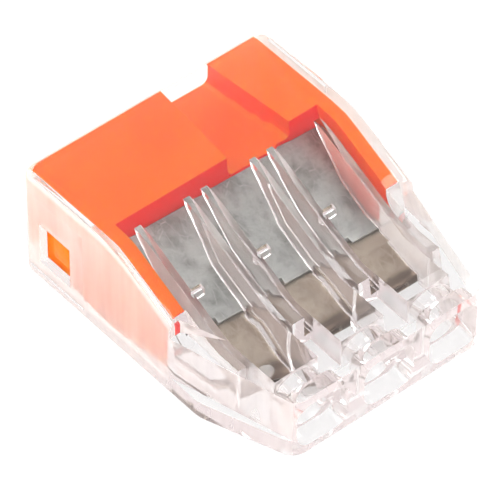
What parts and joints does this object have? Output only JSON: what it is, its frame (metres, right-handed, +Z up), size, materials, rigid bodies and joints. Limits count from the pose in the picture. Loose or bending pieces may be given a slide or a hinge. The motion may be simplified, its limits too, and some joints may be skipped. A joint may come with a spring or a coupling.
{
  "type": "push-wire splicing connector",
  "caption": "Compact push-wire splicing connector: clear housing with wire entries in a row, coloured rear cover with a test-probe trough, sloping current bar and sprung clamp tongues.",
  "frame": {"origin": "centre of the underside", "axes": "+Z up from the flat underside, wire entries face -Y, +X across the ways"},
  "size_m": [0.0138, 0.0166, 0.0059],
  "materials": {
    "clear_plastic": "glossy",
    "orange_plastic": "satin",
    "tinned_copper": "satin",
    "spring_steel": "satin"
  },
  "bodies": {
    "root": {"housing": "clear_plastic", "rear_cover": "orange_plastic", "current_bar": "tinned_copper", "spring_strip": "spring_steel"},
    "tongue_1": {"clamp_tongue_1": "spring_steel"},
    "tongue_2": {"clamp_tongue_2": "spring_steel"},
    "tongue_3": {"clamp_tongue_3": "spring_steel"}
  },
  "joints": [
    {"name": "tongue_1_press", "type": "hinge", "parent": "root", "child": "tongue_1", "pos_m": [-0.0037, -0.00392, 0.00076], "axis": [-1, 0, 0], "range_deg": [0, 28], "stiffness_Nm_per_rad": 0.05},
    {"name": "tongue_2_press", "type": "hinge", "parent": "root", "child": "tongue_2", "pos_m": [0, -0.00392, 0.00076], "axis": [-1, 0, 0], "range_deg": [0, 28], "stiffness_Nm_per_rad": 0.05},
    {"name": "tongue_3_press", "type": "hinge", "parent": "root", "child": "tongue_3", "pos_m": [0.0037, -0.00392, 0.00076], "axis": [-1, 0, 0], "range_deg": [0, 28], "stiffness_Nm_per_rad": 0.05}
  ]
}
